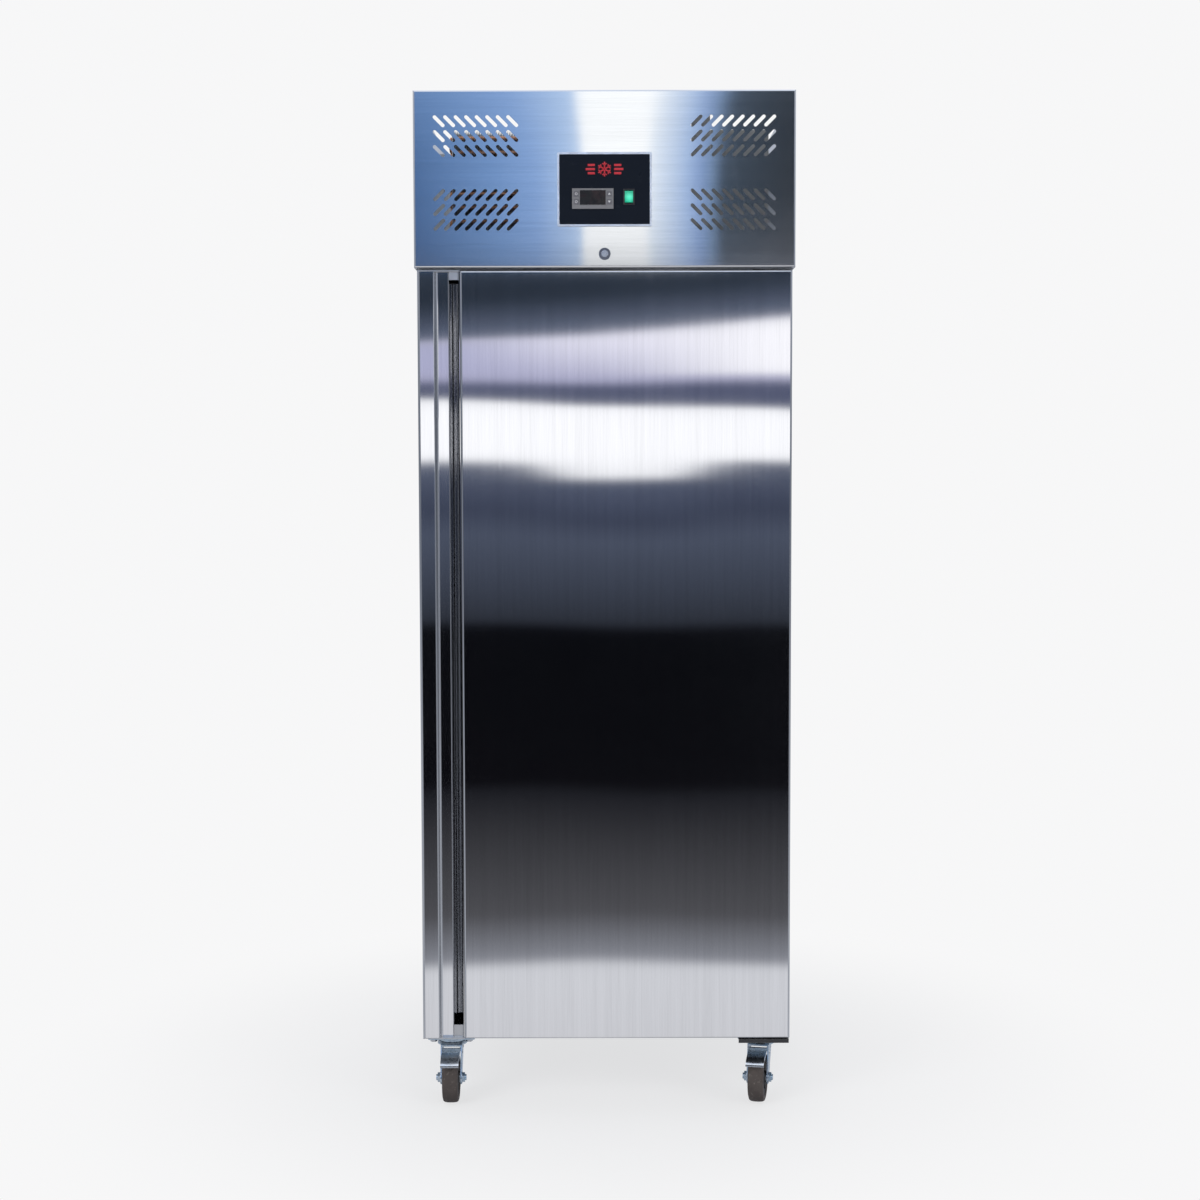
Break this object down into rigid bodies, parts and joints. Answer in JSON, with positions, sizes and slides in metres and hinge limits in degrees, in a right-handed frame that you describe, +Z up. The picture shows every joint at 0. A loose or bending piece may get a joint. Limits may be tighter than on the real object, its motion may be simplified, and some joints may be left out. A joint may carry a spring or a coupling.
{
  "type": "reach-in refrigerator",
  "caption": "Tall single-door stainless reach-in refrigerator with a louvred head panel, a recessed full-height grip, a top-mounted cooling unit, wire shelves and braked swivel casters.",
  "frame": {"origin": "on the floor, under the middle of the cabinet's overall box", "axes": "+Z up, the door and head panel face -Y, +X to the right of a person who stands in front"},
  "size_m": [0.74, 0.83, 2.01],
  "materials": {
    "stainless_front": "brushed stainless steel",
    "stainless_shell": "brushed stainless steel",
    "stainless_inner": "satin stainless steel",
    "zinc_sheet": "galvanised sheet",
    "foam": "rigid insulating foam",
    "black_steel": "satin black paint",
    "compressor_black": "satin black paint",
    "zinc_caster": "blue zinc plate",
    "shelf_wire": "light grey coating",
    "coil_fins": "pressed fins",
    "fan_metal": "satin",
    "copper": "bare copper",
    "black_plastic": "moulded",
    "grey_plastic": "moulded",
    "gasket_pvc": "soft grey seal",
    "bush_nylon": "nylon",
    "control_black": "smooth black",
    "trim_metal": "polished edge",
    "controller_grey": "moulded",
    "window_dark": "dark display",
    "button_grey": "soft keys",
    "rocker_green": "translucent green",
    "lock_metal": "plated",
    "tyre_dark": "dark tread",
    "pedal_zinc": "zinc plate",
    "box_grey": "satin grey"
  },
  "bodies": {
    "cabinet": {"left_side_panel": "stainless_shell", "right_side_panel": "stainless_shell", "back_panel": "zinc_sheet", "bottom_panel": "zinc_sheet", "machine_deck": "zinc_sheet", "cabinet_foam": "foam", "inner_liner": "stainless_inner", "front_frame": "stainless_inner", "upper_hinge_bracket": "zinc_sheet", "lower_hinge_bracket": "black_steel", "shelf_pilasters": "stainless_inner", "shelf_runners": "stainless_inner", "air_duct": "stainless_inner", "evaporator_coil": "coil_fins", "evaporator_fan_motor": "black_plastic", "compressor": "compressor_black", "condenser_coil": "coil_fins", "condenser_fan_shroud": "zinc_sheet", "refrigerant_pipes": "copper", "unit_base": "zinc_sheet", "evaporation_tray": "black_plastic", "electrical_box": "box_grey", "cord_gland": "black_plastic", "caster_plates": "zinc_caster", "panel_screws": "zinc_sheet"},
    "door": {"door_skin": "stainless_front", "handle_channel": "stainless_front", "door_foam": "foam", "door_liner": "stainless_inner", "door_gasket": "gasket_pvc", "door_end_caps": "grey_plastic", "door_hinge_bushes": "bush_nylon"},
    "head": {"head_panel": "stainless_front", "control_plate": "control_black", "control_trim": "trim_metal", "controller_housing": "controller_grey", "controller_window": "window_dark", "rocker_bezel": "black_plastic", "lock_housing": "lock_metal"},
    "rocker": {"rocker_paddle": "rocker_green"},
    "button_set": {"button_set": "button_grey"},
    "button_up": {"button_up": "button_grey"},
    "button_down": {"button_down": "button_grey"},
    "button_defrost": {"button_defrost": "button_grey"},
    "lock": {"lock_plug": "lock_metal"},
    "condenser_fan": {"condenser_fan": "fan_metal"},
    "evaporator_fan": {"evaporator_fan": "black_plastic"},
    "shelf_top": {"shelf_top": "shelf_wire"},
    "shelf_middle": {"shelf_middle": "shelf_wire"},
    "shelf_bottom": {"shelf_bottom": "shelf_wire"},
    "fork_fl": {"caster_fork_fl": "zinc_caster"},
    "wheel_fl": {"caster_wheel_fl": "tyre_dark"},
    "fork_fr": {"caster_fork_fr": "zinc_caster"},
    "wheel_fr": {"caster_wheel_fr": "tyre_dark"},
    "fork_rl": {"caster_fork_rl": "zinc_caster"},
    "wheel_rl": {"caster_wheel_rl": "tyre_dark"},
    "fork_rr": {"caster_fork_rr": "zinc_caster"},
    "wheel_rr": {"caster_wheel_rr": "tyre_dark"},
    "brake_fl": {"brake_pedal_fl": "pedal_zinc"},
    "brake_fr": {"brake_pedal_fr": "pedal_zinc"}
  },
  "joints": [
    {"name": "door_swing", "type": "hinge", "parent": "cabinet", "child": "door", "pos_m": [0.346, -0.372, 0.148], "axis": [0, 0, 1], "range_deg": [0, 110]},
    {"name": "head_flip", "type": "hinge", "parent": "cabinet", "child": "head", "pos_m": [0, -0.355, 1.998], "axis": [-1, 0, 0], "range_deg": [0, 75]},
    {"name": "rocker_tilt", "type": "hinge", "parent": "head", "child": "rocker", "pos_m": [0.047, -0.405, 1.805], "axis": [-1, 0, 0], "range_deg": [0, 14]},
    {"name": "button_set_press", "type": "slide", "parent": "head", "child": "button_set", "axis": [0, 1, 0], "range_m": [0, 0.0009], "stiffness_N_per_m": 900},
    {"name": "button_up_press", "type": "slide", "parent": "head", "child": "button_up", "axis": [0, 1, 0], "range_m": [0, 0.0009], "stiffness_N_per_m": 900},
    {"name": "button_down_press", "type": "slide", "parent": "head", "child": "button_down", "axis": [0, 1, 0], "range_m": [0, 0.0009], "stiffness_N_per_m": 900},
    {"name": "button_defrost_press", "type": "slide", "parent": "head", "child": "button_defrost", "axis": [0, 1, 0], "range_m": [0, 0.0009], "stiffness_N_per_m": 900},
    {"name": "lock_turn", "type": "hinge", "parent": "head", "child": "lock", "pos_m": [0, -0.415, 1.696], "axis": [0, 1, 0], "range_deg": [0, 90]},
    {"name": "condenser_fan_spin", "type": "hinge", "parent": "cabinet", "child": "condenser_fan", "pos_m": [-0.15, -0.153, 1.8002], "axis": [0, -1, 0], "continuous": true},
    {"name": "evaporator_fan_spin", "type": "hinge", "parent": "cabinet", "child": "evaporator_fan", "pos_m": [0, 0.064, 1.53], "axis": [0, -1, 0], "continuous": true},
    {"name": "shelf_top_slide", "type": "slide", "parent": "cabinet", "child": "shelf_top", "axis": [0, -1, 0], "range_m": [0, 0.032]},
    {"name": "shelf_middle_slide", "type": "slide", "parent": "cabinet", "child": "shelf_middle", "axis": [0, -1, 0], "range_m": [0, 0.032]},
    {"name": "shelf_bottom_slide", "type": "slide", "parent": "cabinet", "child": "shelf_bottom", "axis": [0, -1, 0], "range_m": [0, 0.032]},
    {"name": "swivel_fl", "type": "hinge", "parent": "cabinet", "child": "fork_fl", "pos_m": [-0.314, -0.301, 0.118], "axis": [0, 0, 1], "continuous": true},
    {"name": "wheel_spin_fl", "type": "hinge", "parent": "fork_fl", "child": "wheel_fl", "pos_m": [-0.314, -0.337, 0.05], "axis": [1, 0, 0], "continuous": true},
    {"name": "brake_press_fl", "type": "hinge", "parent": "fork_fl", "child": "brake_fl", "pos_m": [-0.314, -0.327, 0.105], "axis": [1, 0, 0], "range_deg": [0, 5]},
    {"name": "swivel_fr", "type": "hinge", "parent": "cabinet", "child": "fork_fr", "pos_m": [0.314, -0.301, 0.118], "axis": [0, 0, 1], "continuous": true},
    {"name": "wheel_spin_fr", "type": "hinge", "parent": "fork_fr", "child": "wheel_fr", "pos_m": [0.30713, -0.33634, 0.05], "axis": [0.9816, -0.1908, 0], "continuous": true},
    {"name": "brake_press_fr", "type": "hinge", "parent": "fork_fr", "child": "brake_fr", "pos_m": [0.30904, -0.32652, 0.105], "axis": [0.9816, -0.1908, 0], "range_deg": [0, 5]},
    {"name": "swivel_rl", "type": "hinge", "parent": "cabinet", "child": "fork_rl", "pos_m": [-0.314, 0.37, 0.118], "axis": [0, 0, 1], "continuous": true},
    {"name": "wheel_spin_rl", "type": "hinge", "parent": "fork_rl", "child": "wheel_rl", "pos_m": [-0.31024, 0.3342, 0.05], "axis": [0.9945, 0.1045, 0], "continuous": true},
    {"name": "swivel_rr", "type": "hinge", "parent": "cabinet", "child": "fork_rr", "pos_m": [0.314, 0.37, 0.118], "axis": [0, 0, 1], "continuous": true},
    {"name": "wheel_spin_rr", "type": "hinge", "parent": "fork_rr", "child": "wheel_rr", "pos_m": [0.31149, 0.33409, 0.05], "axis": [0.9976, -0.0698, 0], "continuous": true}
  ]
}
